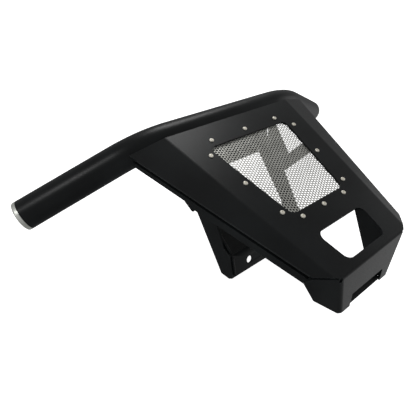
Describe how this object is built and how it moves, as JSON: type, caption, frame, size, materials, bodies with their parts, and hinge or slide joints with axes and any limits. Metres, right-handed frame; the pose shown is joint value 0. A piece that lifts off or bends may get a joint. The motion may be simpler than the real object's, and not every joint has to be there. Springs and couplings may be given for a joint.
{
  "type": "front grille guard",
  "caption": "Bent-tube front guard with a folded black face plate, a bolted perforated mesh screen, a notched chin and rear mounting brackets.",
  "frame": {"origin": "under the middle of the whole guard, at the level of its rearmost points, as it lies on its back", "axes": "+X across the guard to its right side seen from the front with the tube on top turned up, +Y from the chin to the top tube, +Z out of the front face"},
  "size_m": [0.7698, 0.4476, 0.2029],
  "materials": {
    "powder_coat": "satin fine-texture black powder coat",
    "end_cap_metal": "turned, satin",
    "mesh_metal": "plain perforated sheet, satin",
    "fastener_steel": "zinc-bright button heads"
  },
  "bodies": {
    "root": {"main_tube": "powder_coat", "front_plate": "powder_coat", "upper_cross_plate": "powder_coat", "rear_cross_plate": "powder_coat", "chin_stay": "powder_coat", "left_side_rail": "powder_coat", "left_arm": "powder_coat", "left_strut": "powder_coat", "left_foot_gusset": "powder_coat", "left_chin_rib": "powder_coat", "left_end_cap": "end_cap_metal", "right_side_rail": "powder_coat", "right_arm": "powder_coat", "right_strut": "powder_coat", "right_foot_gusset": "powder_coat", "right_chin_rib": "powder_coat", "right_end_cap": "end_cap_metal", "mesh_screen": "mesh_metal", "mesh_screw_01": "fastener_steel", "mesh_nut_01": "fastener_steel", "mesh_screw_02": "fastener_steel", "mesh_nut_02": "fastener_steel", "mesh_screw_03": "fastener_steel", "mesh_nut_03": "fastener_steel", "mesh_screw_04": "fastener_steel", "mesh_nut_04": "fastener_steel", "mesh_screw_05": "fastener_steel", "mesh_nut_05": "fastener_steel", "mesh_screw_06": "fastener_steel", "mesh_nut_06": "fastener_steel", "mesh_screw_07": "fastener_steel", "mesh_nut_07": "fastener_steel", "mesh_screw_08": "fastener_steel", "mesh_nut_08": "fastener_steel", "mesh_screw_09": "fastener_steel", "mesh_nut_09": "fastener_steel", "mesh_screw_10": "fastener_steel", "mesh_nut_10": "fastener_steel", "mesh_screw_11": "fastener_steel", "mesh_nut_11": "fastener_steel", "mesh_screw_12": "fastener_steel", "mesh_nut_12": "fastener_steel"}
  },
  "joints": []
}
